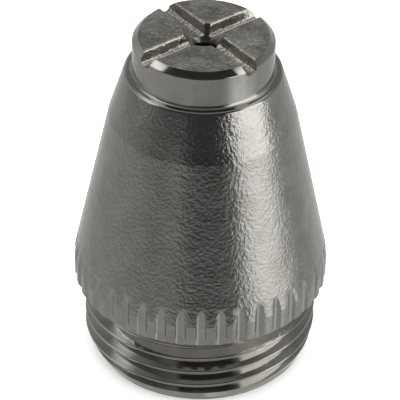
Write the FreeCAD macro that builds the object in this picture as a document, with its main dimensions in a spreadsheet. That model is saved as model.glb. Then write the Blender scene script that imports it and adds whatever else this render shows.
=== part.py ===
import FreeCAD, Part
import os
import Sketcher

# Plasma torch nozzle, turned in one piece from copper and plated all over.
# Frame: millimetres, +Z up along the turning axis, origin on the axis in the
# flat end face of the threaded shank, so that the slotted crown is at the top.

SIZES = [
    # threaded shank
    ("shank_length", 4.85, "end face to the seat under the fluted band"),
    ("thread_diameter", 13.9, "crests of the M14 x 1 thread"),
    ("thread_pitch", 1.0, "rise of the right-hand thread in one turn"),
    ("thread_depth", 0.55, "crest to root"),
    ("thread_root", 0.24, "flat width of the groove's root"),
    ("thread_flank", 30.0, "slope of the flanks in degrees"),
    ("thread_start", -0.683, "height of the groove's centre line where it starts, on +X"),
    ("thread_runout", 0.267, "how far the groove runs on past the foot of the neck"),
    ("neck_clearance", 0.05, "depth of the plain neck below the thread's root"),
    ("neck_width", 0.8, "height of the neck"),
    ("lead_inset", 0.57, "how far the lead taper draws in on each side"),
    ("lead_height", 1.35, "height of the lead taper"),
    # fluted band
    ("band_diameter", 15.1, "greatest diameter"),
    ("band_height", 1.6, "seat to the top of the straight band"),
    ("seat_chamfer", 0.33, "chamfer round the seat"),
    ("shoulder_height", 0.55, "slightly tapered shoulder over the band"),
    ("shoulder_inset", 0.1, "how far the shoulder draws in on each side"),
    ("flute_count", 40, "grip flutes round the band"),
    ("flute_radius", 0.39, "radius of the flute's section"),
    ("flute_depth", 0.21, "depth of a flute in the straight band"),
    # two cones and the ledge over them
    ("cone_height", 9.45, "long lower cone"),
    ("nose_diameter", 10.9, "break between the two cones"),
    ("nose_height", 2.95, "short steeper cone"),
    ("ledge_diameter", 9.14, "ledge at the top of the short cone"),
    ("ledge_chamfer", 0.13, "broken edge of the ledge"),
    # crown
    ("crown_diameter", 8.15, "round crown at the tip"),
    ("crown_height", 2.3, "ledge to the top of the crown"),
    ("crown_chamfer", 0.35, "chamfer round the top of the crown"),
    ("slot_width", 1.1, "vent slots across the top"),
    ("slot_depth", 0.55, "depth of the vent slots"),
    ("slot_turn", 37.5, "direction of the first slot in degrees from +X"),
    ("slot_offset", 0.15, "distance from the axis to where the slots cross"),
    # passage for the arc
    ("orifice_diameter", 1.2, "throat"),
    ("flare_diameter", 2.4, "mouth of the flare in the crown"),
    ("flare_depth", 0.9, "depth of the flare"),
    # chamber for the electrode
    ("chamber_diameter", 10.6, "straight bore of the chamber"),
    ("chamber_depth", 7.0, "end face to the end of the straight bore"),
    ("chamber_chamfer", 0.3, "chamfer at the chamber's mouth"),
    ("funnel_diameter", 5.0, "small end of the chamber's cone"),
    ("funnel_height", 9.4, "height of the chamber's cone"),
    ("entry_height", 1.9, "height of the steep entry to the throat"),
]

doc = FreeCAD.newDocument("plasma_nozzle")
sheet = doc.addObject("Spreadsheet::Sheet", "sizes")
for row, (alias, value, meaning) in enumerate(SIZES, start=1):
    sheet.set("A%d" % row, alias)
    sheet.set("B%d" % row, str(value))
    sheet.set("C%d" % row, meaning)
    sheet.setAlias("B%d" % row, alias)
doc.recompute()

body = doc.addObject("PartDesign::Body", "nozzle")
body.Label = "nozzle"


def size(text):
    """The value of an expression over the sheet's sizes."""
    return float(sheet.evalExpression(text))


def origin_feature(role):
    """The body's own origin plane or axis with that role."""
    for feature in body.Origin.OriginFeatures:
        if feature.Role == role:
            return feature
    raise RuntimeError("no origin feature " + role)


def sketch_on(role, name):
    """A new sketch laid flat on one of the body's origin planes."""
    sketch = body.newObject("Sketcher::SketchObject", name)
    sketch.AttachmentSupport = [(origin_feature(role), "")]
    sketch.MapMode = "FlatFace"
    return sketch


def outline(sketch, corners):
    """A closed outline of straight lines through corners of (name, across, up)."""
    spots = [FreeCAD.Vector(size(across), size(up), 0) for name, across, up in corners]
    count = len(corners)
    for i in range(count):
        sketch.addGeometry(Part.LineSegment(spots[i], spots[(i + 1) % count]), False)
    for i in range(count):
        sketch.addConstraint(Sketcher.Constraint("Coincident", i, 2, (i + 1) % count, 1))
    for i, (name, across, up) in enumerate(corners):
        held = [("DistanceX", "across", spots[i].x, across), ("DistanceY", "up", spots[i].y, up)]
        for kind, way, value, text in held:
            index = sketch.addConstraint(Sketcher.Constraint(kind, -1, 1, i, 1, value))
            sketch.renameConstraint(index, name + "_" + way)
            sketch.setExpression("Constraints." + name + "_" + way, text)


def turned(kind, name, corners):
    """A full turn of an outline round Z: a Revolution adds, a Groove cuts."""
    sketch = sketch_on("XZ_Plane", name + "_outline")
    outline(sketch, corners)
    feature = body.newObject("PartDesign::" + kind, name)
    feature.Profile = sketch
    feature.ReferenceAxis = (sketch, ["V_Axis"])
    feature.Angle = 360.0
    doc.recompute()
    return feature


def check_cut(name, before, after):
    """A cut has to take material away."""
    if after >= before:
        raise RuntimeError(name + " cuts nothing")


# heights over the end face, each from the piece below it
SEAT = "sizes.shank_length"
BAND_TOP = SEAT + " + sizes.band_height"
CONE_FOOT = BAND_TOP + " + sizes.shoulder_height"
NOSE_FOOT = CONE_FOOT + " + sizes.cone_height"
LEDGE = NOSE_FOOT + " + sizes.nose_height"
TOP = LEDGE + " + sizes.crown_height"
THREAD_ROOT = "sizes.thread_diameter / 2 - sizes.thread_depth"
NECK_DEPTH = "sizes.thread_depth + sizes.neck_clearance"
NECK_FOOT = SEAT + " - sizes.neck_width"
FLARE_FOOT = TOP + " - sizes.flare_depth"
ENTRY_FOOT = "sizes.chamber_depth + sizes.funnel_height"

# the outside, turned in one setting
blank = turned("Revolution", "blank", [
    ("foot_axis", "0", "0"),
    ("lead_foot", "sizes.thread_diameter / 2 - sizes.lead_inset", "0"),
    ("lead_top", "sizes.thread_diameter / 2", "sizes.lead_height"),
    ("thread_top", "sizes.thread_diameter / 2", NECK_FOOT + " - (" + NECK_DEPTH + ") / 2"),
    ("neck_foot", "sizes.thread_diameter / 2 - (" + NECK_DEPTH + ")", NECK_FOOT),
    ("neck_top", "sizes.thread_diameter / 2 - (" + NECK_DEPTH + ")", SEAT),
    ("seat_edge", "sizes.band_diameter / 2 - sizes.seat_chamfer", SEAT),
    ("band_foot", "sizes.band_diameter / 2", SEAT + " + sizes.seat_chamfer"),
    ("band_top", "sizes.band_diameter / 2", BAND_TOP),
    ("cone_foot", "sizes.band_diameter / 2 - sizes.shoulder_inset", CONE_FOOT),
    ("nose_foot", "sizes.nose_diameter / 2", NOSE_FOOT),
    ("nose_top", "sizes.ledge_diameter / 2", LEDGE + " - sizes.ledge_chamfer"),
    ("ledge_edge", "sizes.ledge_diameter / 2 - sizes.ledge_chamfer", LEDGE),
    ("crown_foot", "sizes.crown_diameter / 2", LEDGE),
    ("crown_edge", "sizes.crown_diameter / 2", TOP + " - sizes.crown_chamfer"),
    ("crown_top", "sizes.crown_diameter / 2 - sizes.crown_chamfer", TOP),
    ("top_axis", "0", TOP),
])

# the electrode's chamber, bored from the threaded end, and its way to the throat
chamber = turned("Groove", "chamber", [
    ("mouth_axis", "0", "0"),
    ("mouth_edge", "sizes.chamber_diameter / 2 + sizes.chamber_chamfer", "0"),
    ("bore_foot", "sizes.chamber_diameter / 2", "sizes.chamber_chamfer"),
    ("bore_top", "sizes.chamber_diameter / 2", "sizes.chamber_depth"),
    ("funnel_top", "sizes.funnel_diameter / 2", ENTRY_FOOT),
    ("entry_top", "sizes.orifice_diameter / 2", ENTRY_FOOT + " + sizes.entry_height"),
    ("entry_axis", "0", ENTRY_FOOT + " + sizes.entry_height"),
])
check_cut("chamber", blank.Shape.Volume, chamber.Shape.Volume)

passage = turned("Groove", "passage", [
    ("throat_axis", "0", ENTRY_FOOT),
    ("throat_foot", "sizes.orifice_diameter / 2", ENTRY_FOOT),
    ("throat_top", "sizes.orifice_diameter / 2", FLARE_FOOT),
    ("flare_top", "sizes.flare_diameter / 2", TOP),
    ("flare_axis", "0", TOP),
])
check_cut("passage", chamber.Shape.Volume, passage.Shape.Volume)

# two crossed vent slots, milled across the crown
HALF_SLOT = "sizes.slot_width / 2"
REACH = "sizes.crown_diameter"
cross = sketch_on("XY_Plane", "slot_outline")
outline(cross, [
    ("east_low", REACH, "-" + HALF_SLOT),
    ("east_high", REACH, HALF_SLOT),
    ("corner_ne", HALF_SLOT, HALF_SLOT),
    ("north_right", HALF_SLOT, REACH),
    ("north_left", "-" + HALF_SLOT, REACH),
    ("corner_nw", "-" + HALF_SLOT, HALF_SLOT),
    ("west_high", "-" + REACH, HALF_SLOT),
    ("west_low", "-" + REACH, "-" + HALF_SLOT),
    ("corner_sw", "-" + HALF_SLOT, "-" + HALF_SLOT),
    ("south_left", "-" + HALF_SLOT, "-" + REACH),
    ("south_right", HALF_SLOT, "-" + REACH),
    ("corner_se", HALF_SLOT, "-" + HALF_SLOT),
])
cross.setExpression(".AttachmentOffset.Base.y", "sizes.slot_offset")
cross.setExpression(".AttachmentOffset.Base.z", TOP)
cross.setExpression(".AttachmentOffset.Rotation.Angle", "sizes.slot_turn")
doc.recompute()
slots = body.newObject("PartDesign::Pocket", "slots")
slots.Profile = cross
slots.setExpression("Length", "sizes.slot_depth")
doc.recompute()
check_cut("slots", passage.Shape.Volume, slots.Shape.Volume)

# the thread's groove, one helix from below the end face into the neck
HALF_ROOT = "sizes.thread_root / 2"
OUTSIDE = "sizes.thread_depth * 1.2"
SPREAD = HALF_ROOT + " + " + OUTSIDE + " * tan(sizes.thread_flank)"
groove = sketch_on("XZ_Plane", "thread_outline")
outline(groove, [
    ("root_low", THREAD_ROOT, "sizes.thread_start - " + HALF_ROOT),
    ("crest_low", THREAD_ROOT + " + " + OUTSIDE, "sizes.thread_start - (" + SPREAD + ")"),
    ("crest_high", THREAD_ROOT + " + " + OUTSIDE, "sizes.thread_start + " + SPREAD),
    ("root_high", THREAD_ROOT, "sizes.thread_start + " + HALF_ROOT),
])
thread = body.newObject("PartDesign::SubtractiveHelix", "thread")
thread.Profile = groove
thread.ReferenceAxis = (groove, ["V_Axis"])
thread.Mode = 1
thread.setExpression("Pitch", "sizes.thread_pitch")
THREAD_RISE = NECK_FOOT + " + sizes.thread_runout - sizes.thread_start"
thread.setExpression("Turns", "(" + THREAD_RISE + ") / sizes.thread_pitch")
thread.Angle = 0
doc.recompute()
check_cut("thread", slots.Shape.Volume, thread.Shape.Volume)

# grip flutes, cut parallel to the axis until the cone leaves them
flute = sketch_on("XY_Plane", "flute_outline")
flute_axis = "sizes.band_diameter / 2 - sizes.flute_depth + sizes.flute_radius"
centre = FreeCAD.Vector(0, -size(flute_axis), 0)
flute.addGeometry(Part.Circle(centre, FreeCAD.Vector(0, 0, 1), size("sizes.flute_radius")), False)
flute.addConstraint(Sketcher.Constraint("PointOnObject", 0, 3, -2))
flute.addConstraint(Sketcher.Constraint("Radius", 0, size("sizes.flute_radius")))
flute.renameConstraint(1, "section")
flute.setExpression("Constraints.section", "sizes.flute_radius")
flute.addConstraint(Sketcher.Constraint("DistanceY", -1, 1, 0, 3, centre.y))
flute.renameConstraint(2, "place")
flute.setExpression("Constraints.place", "-(" + flute_axis + ")")
flute.setExpression(".AttachmentOffset.Base.z", SEAT)
doc.recompute()
flute_cut = body.newObject("PartDesign::Pocket", "flute_cut")
flute_cut.Profile = flute
flute_cut.Reversed = True
flute_cut.setExpression("Length", "sizes.band_height + sizes.shoulder_height + sizes.cone_height")
doc.recompute()
check_cut("flute", thread.Shape.Volume, flute_cut.Shape.Volume)

flutes = body.newObject("PartDesign::PolarPattern", "flutes")
flutes.Originals = [flute_cut]
flutes.Axis = (origin_feature("Z_Axis"), [""])
flutes.Angle = 360.0
flutes.setExpression("Occurrences", "sizes.flute_count")
body.Tip = flutes
doc.recompute()
check_cut("flutes", flute_cut.Shape.Volume, flutes.Shape.Volume)

for item in doc.Objects:
    if "Invalid" in item.State or "Error" in item.State:
        raise RuntimeError(item.Name + " failed: " + str(item.State))

shape = body.Shape
if shape.isNull() or not shape.isValid() or len(shape.Solids) != 1:
    raise RuntimeError("the nozzle is not one valid solid")

os.makedirs("parts", exist_ok=True)
shape.exportStep("parts/" + body.Label + ".step")
print("volume %.2f mm3" % shape.Volume, "faces", len(shape.Faces), shape.BoundBox)
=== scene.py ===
import math

import bmesh
import bpy
import numpy as np
from mathutils import Matrix, Vector


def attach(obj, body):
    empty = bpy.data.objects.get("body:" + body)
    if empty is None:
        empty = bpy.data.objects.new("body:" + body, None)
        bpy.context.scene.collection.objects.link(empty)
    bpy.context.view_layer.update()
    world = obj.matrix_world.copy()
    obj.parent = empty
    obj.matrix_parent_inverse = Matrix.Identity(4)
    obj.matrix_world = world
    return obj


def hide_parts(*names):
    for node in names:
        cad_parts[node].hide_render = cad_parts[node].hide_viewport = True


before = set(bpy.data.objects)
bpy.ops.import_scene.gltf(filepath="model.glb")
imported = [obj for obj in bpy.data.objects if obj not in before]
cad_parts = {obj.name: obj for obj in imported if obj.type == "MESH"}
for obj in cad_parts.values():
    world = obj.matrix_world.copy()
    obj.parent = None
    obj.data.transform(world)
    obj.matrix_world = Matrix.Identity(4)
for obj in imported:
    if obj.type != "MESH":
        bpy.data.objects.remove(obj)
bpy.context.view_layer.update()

# ---------------------------------------------------------------------------
# Nozzle. One piece of copper bar, turned outside and bored inside, with forty
# grip flutes round its widest band, a single-point cut thread on its shank and
# two vent slots milled across its crown; then plated all over.
#
# Lengths are millimetres and heights are over the flat end face.

# shank and its thread, M14 x 1, right-hand
SHANK_LENGTH = 4.85
THREAD_RADIUS = 6.95
LEAD_INSET, LEAD_HEIGHT = 0.57, 1.35
NECK_RADIUS, NECK_WIDTH, NECK_SLOPE = 6.35, 0.8, 0.3
# fluted band and the shoulder over it
BAND_RADIUS, BAND_HEIGHT = 7.55, 1.6
SEAT_CHAMFER = 0.33
SHOULDER_RADIUS, SHOULDER_TOP = 7.45, 7.0
# cone, the steeper nose at its end, and the crown
CONE_JOIN = (7.26, 7.9)
NOSE_RADIUS, NOSE_BASE = 5.45, 16.45
LEDGE_RADIUS, LEDGE_HEIGHT = 4.53, 19.4
CROWN_RADIUS, CROWN_TOP, CROWN_CHAMFER = 4.075, 21.7, 0.35
# passage and chamber
ORIFICE_RADIUS, ORIFICE_BASE = 0.6, 18.3
FLARE_RADIUS, FLARE_DEPTH = 1.2, 0.9
FUNNEL_RADIUS, FUNNEL_TOP = 2.5, 16.4
CHAMBER_RADIUS, CHAMBER_TOP, CHAMBER_CHAMFER = 5.3, 7.0, 0.3

CONE_SLOPE = (SHOULDER_RADIUS - NOSE_RADIUS) / (NOSE_BASE - SHOULDER_TOP)
SEAT_RADIUS = BAND_RADIUS - SEAT_CHAMFER
MOUTH_RADIUS = CHAMBER_RADIUS + CHAMBER_CHAMFER

# Outline as (radius, height, size of the round on that corner), up the outside
# and back down the bore. The last point of each run only gives its direction.
SEAT_LIP = 0.14
FOOT = [
    (MOUTH_RADIUS, 0.0, 0.0),
    (THREAD_RADIUS - LEAD_INSET, 0.0, 0.06),
    (THREAD_RADIUS, LEAD_HEIGHT, 0.25),
    (THREAD_RADIUS, SHANK_LENGTH - NECK_WIDTH - NECK_SLOPE, 0.05),
    (NECK_RADIUS, SHANK_LENGTH - NECK_WIDTH, 0.08),
    (NECK_RADIUS, SHANK_LENGTH, 0.07),
    (SEAT_RADIUS, SHANK_LENGTH, 0.05),
    (SEAT_RADIUS + SEAT_LIP, SHANK_LENGTH + SEAT_LIP, 0.0),
]
BAND = [
    (SEAT_RADIUS, SHANK_LENGTH, 0.0),
    (BAND_RADIUS, SHANK_LENGTH + SEAT_CHAMFER, 0.07),
    (BAND_RADIUS, SHANK_LENGTH + BAND_HEIGHT, 0.12),
    (SHOULDER_RADIUS, SHOULDER_TOP, 0.25),
    (*CONE_JOIN, 0.0),
]
HEAD = [
    (*CONE_JOIN, 0.0),
    (NOSE_RADIUS, NOSE_BASE, 0.5),
    (LEDGE_RADIUS, LEDGE_HEIGHT, 0.22),
    (CROWN_RADIUS, LEDGE_HEIGHT, 0.24),
    (CROWN_RADIUS, CROWN_TOP - CROWN_CHAMFER, 0.1),
    (CROWN_RADIUS - CROWN_CHAMFER, CROWN_TOP, 0.11),
    (FLARE_RADIUS, CROWN_TOP, 0.05),
    (ORIFICE_RADIUS, CROWN_TOP - FLARE_DEPTH, 0.1),
    (ORIFICE_RADIUS, ORIFICE_BASE, 0.05),
    (FUNNEL_RADIUS, FUNNEL_TOP, 0.4),
    (CHAMBER_RADIUS, CHAMBER_TOP, 0.3),
    (CHAMBER_RADIUS, CHAMBER_CHAMFER, 0.05),
    (MOUTH_RADIUS, 0.0, 0.0),
]


def soften(corners, steps):
    """Rounds a section's corners, given as (radius, height, round), into (radius, height) points."""
    points = []
    for i, (radius, height, rounding) in enumerate(corners):
        here = np.array([radius, height])
        if rounding <= 0 or i in (0, len(corners) - 1):
            points.append(here)
            continue
        back = np.array(corners[i - 1][:2]) - here
        ahead = np.array(corners[i + 1][:2]) - here
        back_length, ahead_length = np.linalg.norm(back), np.linalg.norm(ahead)
        back, ahead = back / back_length, ahead / ahead_length
        bend = math.acos(max(-1.0, min(1.0, float(back @ ahead))))
        run = min(rounding / math.tan(bend / 2), 0.45 * back_length, 0.45 * ahead_length)
        for t in np.linspace(0, 1, steps + 1):
            points.append(here + back * run * (1 - t) ** 2 + ahead * run * t**2)
    return points


# Grip flutes: straight cuts of a round cutter, which start in the seat's
# chamfer and run out in a point where the shoulder narrows to their floor.
# Twelve columns of faces serve each flute: eight in the cut, two on its soft
# edges and two on the land beside it.
FLUTES = 40
FLUTE_CUTTER_RADIUS = 0.39
FLUTE_FLOOR = BAND_RADIUS - 0.21
FLUTE_AXIS = FLUTE_FLOOR + FLUTE_CUTTER_RADIUS
FLUTE_START = SHANK_LENGTH + FLUTE_FLOOR - SEAT_RADIUS
FLUTE_TIP = SHOULDER_TOP + (SHOULDER_RADIUS - FLUTE_FLOOR) / CONE_SLOPE
# round on a flute's edges, its largest share of the half width, and how far it drops
LAND_ROUND, LAND_SHARE, LAND_DROP = 0.035, 0.3, 0.35
TIP_HALF_WIDTH = 0.05
COLUMNS_PER_FLUTE = 12
CUT_COLUMNS = 8
ON_FLOOR = 1e-6


def flute_columns(radius):
    """Angles and radii of one flute's columns at a height where the blank has that radius."""
    if radius > FLUTE_FLOOR + ON_FLOOR:
        cosine = (FLUTE_AXIS**2 + FLUTE_CUTTER_RADIUS**2 - radius**2) / (2 * FLUTE_AXIS * FLUTE_CUTTER_RADIUS)
        arc = math.acos(max(-1.0, min(1.0, cosine))) * np.linspace(-1, 1, CUT_COLUMNS + 1)
        across = FLUTE_CUTTER_RADIUS * np.sin(arc)
        out = FLUTE_AXIS - FLUTE_CUTTER_RADIUS * np.cos(arc)
        turn, reach = np.arctan2(across, out), np.hypot(across, out)
        soft = min(LAND_ROUND, across[-1] * LAND_SHARE)
        land = math.asin(across[-1] / radius) + soft / radius
        turn[0] += soft * 0.5 / radius
        turn[-1] -= soft * 0.5 / radius
        reach[0] = reach[-1] = max(FLUTE_FLOOR, radius - soft * LAND_DROP)
    else:
        turn = TIP_HALF_WIDTH / radius * np.linspace(-1, 1, CUT_COLUMNS + 1)
        reach = np.full(CUT_COLUMNS + 1, radius)
        land = TIP_HALF_WIDTH * 1.3 / radius
    angles = np.concatenate([[-land], turn, [land], [math.pi / FLUTES]])
    radii = np.concatenate([[radius], reach, [radius], [radius]])
    return angles, radii


def ring(radius, height, gather):
    """One ring of vertices, with a flute's centre towards -Y: gather is 0 for even columns and 1
    for columns that follow the flutes."""
    angles, radii = flute_columns(radius)
    even = (np.arange(COLUMNS_PER_FLUTE) - 5) * (math.tau / FLUTES / COLUMNS_PER_FLUTE)
    flute = np.repeat(np.arange(FLUTES), COLUMNS_PER_FLUTE) * math.tau / FLUTES
    turn = np.tile(even * (1 - gather) + angles * gather, FLUTES) + flute - math.pi / 2
    reach = np.tile(radii, FLUTES)
    return np.stack([reach * np.cos(turn), reach * np.sin(turn), np.full(len(turn), height)], axis=1)


def blank_rows():
    """Every ring of the blank as (radius, height, gather), from the end face up and down the bore."""
    rows = [(r, z, 0.0) for r, z in soften(FOOT, 3)[:-1]]
    # the seat's chamfer, where the columns draw together under each flute
    for gap, gather in ((0.075, 0.3), (0.045, 0.65), (0.012, 1.0)):
        rows.append((FLUTE_FLOOR - gap, FLUTE_START - gap, gather))
    band = soften(BAND, 4)[1:-1]
    band_radius, band_height = band[0]
    for t in np.linspace(0.12, 1.0, 6)[:-1]:
        rows.append((FLUTE_FLOOR + (band_radius - FLUTE_FLOOR) * t,
                     FLUTE_START + (band_height - FLUTE_START) * t, 1.0))
    rows += [(r, z, 1.0) for r, z in band]
    # the flutes' pointed run-out, with closer rings towards its tip
    last_radius, last_height = band[-1]
    for t in np.linspace(0, 1, 10)[1:-1]:
        along = 1 - (1 - t) ** 2
        rows.append((last_radius + (FLUTE_FLOOR - last_radius) * along,
                     last_height + (FLUTE_TIP - last_height) * along, 1.0))
    for gap, gather in ((0.02, 1.0), (0.09, 0.65), (0.2, 0.3)):
        rows.append((FLUTE_FLOOR - gap * CONE_SLOPE, FLUTE_TIP + gap, gather))
    return rows + [(r, z, 0.0) for r, z in soften(HEAD, 4)[:-1]]


# Finishes under the plating, as numbers of the materials that follow. The cone
# and the band's lands are blasted from just over the seat up to the ledge.
TURNED, BLASTED, COINED, MILLED, BORED = range(5)
BLASTED_FROM, BLASTED_TO = 5.2, 19.2
CLOSE = 0.01


def finish_of(low, high):
    """Which finish the faces between two rings have."""
    radius, height = (low[0] + high[0]) / 2, (low[1] + high[1]) / 2
    rises, falls = high[1] > low[1], high[1] < low[1]
    if height > CROWN_TOP - CLOSE and radius > FLARE_RADIUS:
        return COINED
    if falls and radius < CHAMBER_RADIUS + CLOSE:
        return BORED
    if rises and BLASTED_FROM < height < BLASTED_TO:
        return BLASTED
    return TURNED


def solid(name, verts, faces, finishes):
    """A mesh object from millimetre vertices, with a finish for each face."""
    mesh = bpy.data.meshes.new(name)
    mesh.from_pydata((np.asarray(verts) / 1000).tolist(), [], faces)
    mesh.polygons.foreach_set("material_index", finishes)
    piece = bpy.data.objects.new(name, mesh)
    bpy.context.collection.objects.link(piece)
    return piece


rows = blank_rows()
columns = FLUTES * COLUMNS_PER_FLUTE
faces, finishes = [], []
for row, low in enumerate(rows):
    above = (row + 1) % len(rows)
    high = rows[above]
    for column in range(columns):
        beside = (column + 1) % columns
        faces.append((row * columns + column, row * columns + beside,
                      above * columns + beside, above * columns + column))
        in_flute = 1 <= column % COLUMNS_PER_FLUTE <= CUT_COLUMNS and min(low[0], high[0]) >= FLUTE_FLOOR
        finishes.append(TURNED if in_flute else finish_of(low, high))
nozzle = solid("plated_nozzle", np.concatenate([ring(*row) for row in rows]), faces, finishes)

# Thread groove: the tool's section carried up a helix. It starts under the end
# face, has a flat root and 30 degree flanks, and leaves lightly rounded crests.
THREAD_ROOT = 6.40
PITCH = 1.0
GROOVE_START, GROOVE_TURNS = -0.683, 5.0
STATIONS_PER_TURN = 240

# half the section, from just outside the crest in to the flat root
flank = [(7.03, -0.474, 0.0), (6.955, -0.468, 0.0), (6.925, -0.425, 0.05), (THREAD_ROOT, -0.12, 0.06)]
section = soften(flank + [(r, -z, rounding) for r, z, rounding in reversed(flank)], 3)
stations = int(STATIONS_PER_TURN * GROOVE_TURNS) + 1
width = len(section)
cut_verts, cut_faces = [], []
for station in range(stations):
    turn = math.tau * (station + 0.5) / STATIONS_PER_TURN
    rise = GROOVE_START + PITCH * turn / math.tau
    cut_verts += [(r * math.cos(turn), r * math.sin(turn), rise + z) for r, z in section]
for station in range(stations - 1):
    here, ahead = station * width, (station + 1) * width
    for j in range(width):
        k = (j + 1) % width
        cut_faces.append((here + j, here + k, ahead + k, ahead + j))
cut_faces.append(tuple(range(width - 1, -1, -1)))
cut_faces.append(tuple((stations - 1) * width + j for j in range(width)))
cut_finishes = [TURNED] * len(cut_faces)

# Vent slots: a cross milled right over the crown, which crosses just beside
# the axis. The cutter's worn corners leave a hollow floor, and the top edges
# are broken.
SLOT_TURN = math.radians(37.5)
SLOT_CROSSING = (0.09, 0.22)
SLOT_REACH = 5.0
# depth under the crown's top and half the slot's width there
SLOT_SECTION = [(0.65, 0.06), (0.64, 0.17), (0.61, 0.26), (0.55, 0.33), (0.46, 0.38), (0.09, 0.50),
                (0.045, 0.525), (0.015, 0.555), (0.0, 0.60), (-0.3, 0.60)]

start = len(cut_verts)
for depth, half in SLOT_SECTION:
    far = SLOT_REACH + half
    cross = [(far, -half), (far, half), (half, half), (half, far), (-half, far), (-half, half),
             (-far, half), (-far, -half), (-half, -half), (-half, -far), (half, -far), (half, -half)]
    for x, y in cross:
        cut_verts.append((SLOT_CROSSING[0] + x * math.cos(SLOT_TURN) - y * math.sin(SLOT_TURN),
                          SLOT_CROSSING[1] + x * math.sin(SLOT_TURN) + y * math.cos(SLOT_TURN),
                          CROWN_TOP - depth))
corners = len(cross)
slot_faces = []
for level in range(len(SLOT_SECTION) - 1):
    low = start + level * corners
    high = low + corners
    for j in range(corners):
        k = (j + 1) % corners
        slot_faces.append((low + j, low + k, high + k, high + j))
slot_faces.append(tuple(start + j for j in range(corners - 1, -1, -1)))
slot_faces.append(tuple(high + j for j in range(corners)))
cut_faces += slot_faces
cut_finishes += [MILLED] * len(slot_faces)
cutters = solid("cutters", cut_verts, cut_faces, cut_finishes)

for piece in (nozzle, cutters):
    shell = bmesh.new()
    shell.from_mesh(piece.data)
    bmesh.ops.recalc_face_normals(shell, faces=shell.faces)
    if piece is cutters:
        bmesh.ops.triangulate(shell, faces=shell.faces)
    shell.to_mesh(piece.data)
    shell.free()

# Plating: bright nickel over the whole piece, a few microns thick. Every
# surface is the same warm grey metal and differs only by what lies under it,
# so one function mixes all five finishes.
MICRON = 1e-6
CLOUD_WIDTH = 1.3
# noise values between which the clouds change the colour and the roughness
CLOUD_TINT, CLOUD_GLOSS = (0.35, 0.62), (0.3, 0.7)


def add(tree, kind, settings=None, links=None):
    """Adds a node: settings are its properties and input values, links are what feeds its inputs."""
    node = tree.nodes.new(kind)
    for key, value in (settings or {}).items():
        if isinstance(key, int) or key in node.inputs:
            node.inputs[key].default_value = value
        else:
            setattr(node, key, value)
    for key, source in (links or {}).items():
        tree.links.new(source, node.inputs[key])
    return node


def linear(code):
    """A linear colour from an sRGB hex code."""
    parts = [int(code[i:i + 2], 16) / 255 for i in (1, 3, 5)]
    return [c / 12.92 if c <= 0.04045 else ((c + 0.055) / 1.055) ** 2.4 for c in parts] + [1]


def nickel(name, colour, worn, roughness, grain, swell=None):
    """Nickel plate with cloudy colour and roughness. Grain and swell are each a width in
    millimetres and a height in microns."""
    material = bpy.data.materials.new(name)
    material.use_nodes = True
    tree = material.node_tree
    tree.nodes.clear()
    place = add(tree, "ShaderNodeTexCoord").outputs["Object"]

    normal = None
    for bumps, detail in ((grain, {"Detail": 2.0, "Roughness": 0.55}), (swell, {"Detail": 1.0})):
        if bumps is None:
            continue
        wide, high = bumps
        spot = add(tree, "ShaderNodeMapping", {"Scale": [1000 / wide] * 3}, {"Vector": place})
        noise = add(tree, "ShaderNodeTexNoise", {"Scale": 1.0, **detail}, {"Vector": spot.outputs[0]})
        feeds = {"Height": noise.outputs["Fac"]}
        if normal:
            feeds["Normal"] = normal
        normal = add(tree, "ShaderNodeBump", {"Strength": 1.0, "Distance": high * MICRON}, feeds).outputs[0]

    spot = add(tree, "ShaderNodeMapping", {"Scale": [1000 / CLOUD_WIDTH] * 3}, {"Vector": place})
    clouds = add(tree, "ShaderNodeTexNoise", {"Scale": 1.0, "Detail": 3.0, "Roughness": 0.6},
                 {"Vector": spot.outputs[0]}).outputs["Fac"]
    share = add(tree, "ShaderNodeMapRange",
                {"From Min": CLOUD_TINT[0], "From Max": CLOUD_TINT[1]}, {"Value": clouds})
    tint = add(tree, "ShaderNodeMix", {"data_type": "RGBA", 6: linear(worn), 7: linear(colour)},
               {0: share.outputs[0]})
    gloss = add(tree, "ShaderNodeMapRange",
                {"From Min": CLOUD_GLOSS[0], "From Max": CLOUD_GLOSS[1],
                 "To Min": roughness[0], "To Max": roughness[1]}, {"Value": clouds})
    shader = add(tree, "ShaderNodeBsdfPrincipled", {"Metallic": 1.0},
                 {"Base Color": tint.outputs[2], "Roughness": gloss.outputs[0], "Normal": normal})
    add(tree, "ShaderNodeOutputMaterial", None, {"Surface": shader.outputs[0]})
    return material


# Turned and plated: smooth, with soft cloudy reflections.
turned_nickel = nickel("turned_bright_nickel", "#D2CFC9", "#C6C3BC", (0.05, 0.11),
                       grain=(0.3, 1.5), swell=(1.5, 12))
# Blasted before plating: a fine orange peel that breaks up the reflections. Its
# grain is drawn coarser than the grit's dents of about 0.05 mm, so that it shows.
blasted_nickel = nickel("blasted_nickel", "#D2CFC9", "#C4C1BA", (0.13, 0.2),
                        grain=(0.2, 34), swell=(1.2, 14))
# Coined faces of the crown: a darker, duller grain, also drawn coarser than real.
coined_nickel = nickel("coined_nickel", "#C2BEB7", "#928E87", (0.18, 0.3),
                       grain=(0.22, 95), swell=(0.7, 16))
# Milled slots: a torn grain, drawn coarser than real, that scatters the light.
milled_nickel = nickel("milled_nickel", "#CFCBC3", "#ACA8A0", (0.08, 0.2),
                       grain=(0.2, 30), swell=(0.6, 40))
# Bored inside: dull, with a faint even grain.
bored_nickel = nickel("bored_nickel", "#BDB9B2", "#A9A59E", (0.2, 0.3), grain=(0.2, 3))
for material in (turned_nickel, blasted_nickel, coined_nickel, milled_nickel, bored_nickel):
    nozzle.data.materials.append(material)
    cutters.data.materials.append(material)

SHARP_EDGE = math.radians(28)

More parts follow.
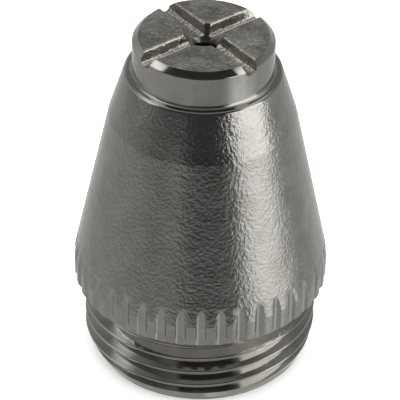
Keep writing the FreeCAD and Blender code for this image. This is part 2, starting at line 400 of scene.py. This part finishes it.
# the cut faces keep the cutters' own finishes
cut = nozzle.modifiers.new("cuts", "BOOLEAN")
cut.operation = "DIFFERENCE"
cut.solver = "EXACT"
cut.object = cutters
cut.material_mode = "INDEX"
depsgraph = bpy.context.evaluated_depsgraph_get()
shape = bpy.data.meshes.new_from_object(nozzle.evaluated_get(depsgraph))
nozzle.modifiers.clear()
nozzle.data = shape
bpy.data.objects.remove(cutters)
shape.shade_smooth()
shape.set_sharp_from_angle(angle=SHARP_EDGE)
weighted = nozzle.modifiers.new("even_normals", "WEIGHTED_NORMAL")
weighted.keep_sharp = True
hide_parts("nozzle")
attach(nozzle, "root")

# ---------------------------------------------------------------------------
# Table and walls. White paper sheets: the table takes the nozzle's shadow, the
# walls stand well off and only the camera sees them. Metres from here on.

ROOM = 3.0


def paper_sheet(name, corners, lit):
    """A plain pale sheet of the stage, which never shows in the metal."""
    mesh = bpy.data.meshes.new(name)
    mesh.from_pydata(corners, [], [(0, 1, 2, 3)])
    sheet = bpy.data.objects.new(name, mesh)
    bpy.context.collection.objects.link(sheet)
    paper = bpy.data.materials.new(name + "_paper")
    paper.use_nodes = True
    shader = paper.node_tree.nodes["Principled BSDF"]
    shader.inputs["Base Color"].default_value = (0.9, 0.9, 0.9, 1)
    shader.inputs["Roughness"].default_value = 0.9
    shader.inputs["Emission Color"].default_value = (1, 1, 1, 1)
    shader.inputs["Emission Strength"].default_value = lit
    mesh.materials.append(paper)
    sheet.visible_glossy = False
    return sheet


floor_corners = [(-ROOM, -ROOM), (ROOM, -ROOM), (ROOM, ROOM), (-ROOM, ROOM)]
paper_sheet("table", [(x, y, 0) for x, y in floor_corners], 0.55)
for i, name in enumerate(("front_wall", "right_wall", "rear_wall", "left_wall")):
    near, far = floor_corners[i], floor_corners[(i + 1) % 4]
    wall = paper_sheet(name, [(*near, 0), (*far, 0), (*far, ROOM), (*near, ROOM)], 0.95)
    wall.visible_diffuse = wall.visible_transmission = wall.visible_shadow = False

# ---------------------------------------------------------------------------
# Studio. What the metal mirrors: a tall soft window on the right, a small one
# high on the left, a bright ceiling behind, a dark front, and paper lit dimly
# low all round.

FRONT = math.radians(-90.73)
# a ramp's colours end at 1, so they hold each brightness as a share of this
BRIGHTEST = 2.0

# height over the table's level in degrees, then (turn from the front towards
# the right in degrees, brightness) round the studio at that height
STUDIO = [
    (-34, [(-165, .70), (-150, .45), (-125, .34), (-95, .34), (-60, .31), (-20, .31), (25, .30),
           (38, .35), (50, .43), (62, .54), (74, .52), (86, .44), (100, .35), (125, .38),
           (150, .48), (165, .70)]),
    (-19, [(-165, .60), (-150, .40), (-125, .29), (-95, .27), (-56, .25), (-45, .20), (-30, .25),
           (-20, .26), (-12, .16), (12, .13), (30, .15), (36, .2), (50, .8), (66, .95), (80, .7),
           (90, .30), (104, .27), (130, .35), (150, .42), (165, .60)]),
    (-5, [(-165, .50), (-140, .33), (-110, .20), (-90, .14), (-60, .13), (-45, .09), (-35, .13),
          (-24, .16), (-18, .03), (30, .03), (38, .1), (42, 1.1), (82, 1.35), (88, .40),
          (98, .26), (130, .33), (165, .50)]),
    (12, [(-165, .4), (-140, .3), (-104, .5), (-75, .5), (-70, .1), (-45, .06), (30, .03),
          (40, 1.2), (84, 1.4), (90, .3), (130, .25), (165, .3)]),
    (38, [(-165, .16), (-110, .16), (-95, 1.2), (-75, 1.2), (-70, .05), (60, .04), (64, 1.4),
          (84, 1.4), (90, .16), (165, .15)]),
    (57, [(-165, .8), (-125, .8), (-100, .25), (-60, .03), (60, .03), (100, .25), (125, .8),
          (165, .8)]),
    (78, [(-165, .3), (-110, .26), (-80, .17), (80, .17), (110, .26), (165, .3)]),
]

world = bpy.data.worlds.new("studio")
bpy.context.scene.world = world
world.use_nodes = True
tree = world.node_tree
tree.nodes.clear()

# the direction's turn from the front as a share of a full turn, and its height in degrees
direction = add(tree, "ShaderNodeTexCoord").outputs["Generated"]
x, y, z = add(tree, "ShaderNodeSeparateXYZ", None, {"Vector": direction}).outputs
sides = []
for x_share, y_share in ((-math.sin(FRONT), math.cos(FRONT)), (math.cos(FRONT), math.sin(FRONT))):
    parts = [add(tree, "ShaderNodeMath", {"operation": "MULTIPLY", 1: share}, {0: axis}).outputs[0]
             for axis, share in ((x, x_share), (y, y_share))]
    sides.append(add(tree, "ShaderNodeMath", {"operation": "ADD"}, dict(enumerate(parts))).outputs[0])
turn = add(tree, "ShaderNodeMath", {"operation": "ARCTAN2"}, dict(enumerate(sides))).outputs[0]
share = add(tree, "ShaderNodeMath", {"operation": "DIVIDE", 1: math.tau}, {0: turn}).outputs[0]
around = add(tree, "ShaderNodeMath", {"operation": "ADD", 1: 0.5}, {0: share}).outputs[0]
slope = add(tree, "ShaderNodeMath", {"operation": "ARCSINE"}, {0: z}).outputs[0]
height = add(tree, "ShaderNodeMath", {"operation": "MULTIPLY", 1: 180 / math.pi}, {0: slope}).outputs[0]

light = None
for level, stops in STUDIO:
    ramp = add(tree, "ShaderNodeValToRGB", None, {"Fac": around})
    elements = ramp.color_ramp.elements
    elements.remove(elements[-1])
    elements[0].position = stops[0][0] / 360 + 0.5
    for degrees, _ in stops[1:]:
        elements.new(degrees / 360 + 0.5)
    for element, (_, bright) in zip(elements, stops):
        element.color = [bright / BRIGHTEST] * 3 + [1]
    band_light = ramp.outputs["Color"]
    if light is None:
        light = band_light
    else:
        share = add(tree, "ShaderNodeMapRange",
                    {"interpolation_type": "SMOOTHSTEP", "From Min": level_below, "From Max": level},
                    {"Value": height})
        light = add(tree, "ShaderNodeMix", {"data_type": "RGBA"},
                    {0: share.outputs[0], 6: light, 7: band_light}).outputs[2]
    level_below = level
background = add(tree, "ShaderNodeBackground", {"Strength": BRIGHTEST}, {"Color": light})
add(tree, "ShaderNodeOutputWorld", None, {"Surface": background.outputs[0]})
bpy.context.scene.view_settings.view_transform = "Standard"

# ---------------------------------------------------------------------------
# Overhead softbox. A wide round lamp that lights the table evenly and gives
# the nozzle its faint shadow. The metal mirrors the studio only.

softbox = bpy.data.lights.new("overhead_softbox", "AREA")
softbox.shape = "DISK"
softbox.size = 0.6
softbox.energy = 6
overhead = bpy.data.objects.new("overhead_softbox", softbox)
bpy.context.collection.objects.link(overhead)
overhead.location = (0, 0, 0.8)
overhead.visible_glossy = False

# ---------------------------------------------------------------------------
# Camera. It looks down on the front from fifteen centimetres away, through a
# long lens, and leans a little to its side.

AIM = Vector((-0.0790, 0.0010, 10.045)) / 1000
ELEVATION, ROLL = math.radians(36.705), math.radians(0.898)
DISTANCE = 0.150

camera_data = bpy.data.cameras.new("camera")
camera_data.sensor_width = 36
camera_data.lens = 228.12
camera_data.clip_start = 0.01
camera_data.clip_end = 20
camera = bpy.data.objects.new("camera", camera_data)
bpy.context.collection.objects.link(camera)
bpy.context.scene.camera = camera
back = Vector((math.cos(ELEVATION) * math.cos(FRONT), math.cos(ELEVATION) * math.sin(FRONT),
               math.sin(ELEVATION)))
level_right = Vector((-math.sin(FRONT), math.cos(FRONT), 0))
level_up = back.cross(level_right)
right = level_right * math.cos(ROLL) + level_up * math.sin(ROLL)
up = level_up * math.cos(ROLL) - level_right * math.sin(ROLL)
stance = Matrix((right, up, back)).transposed().to_4x4()
stance.translation = AIM + back * DISTANCE
camera.matrix_world = stance
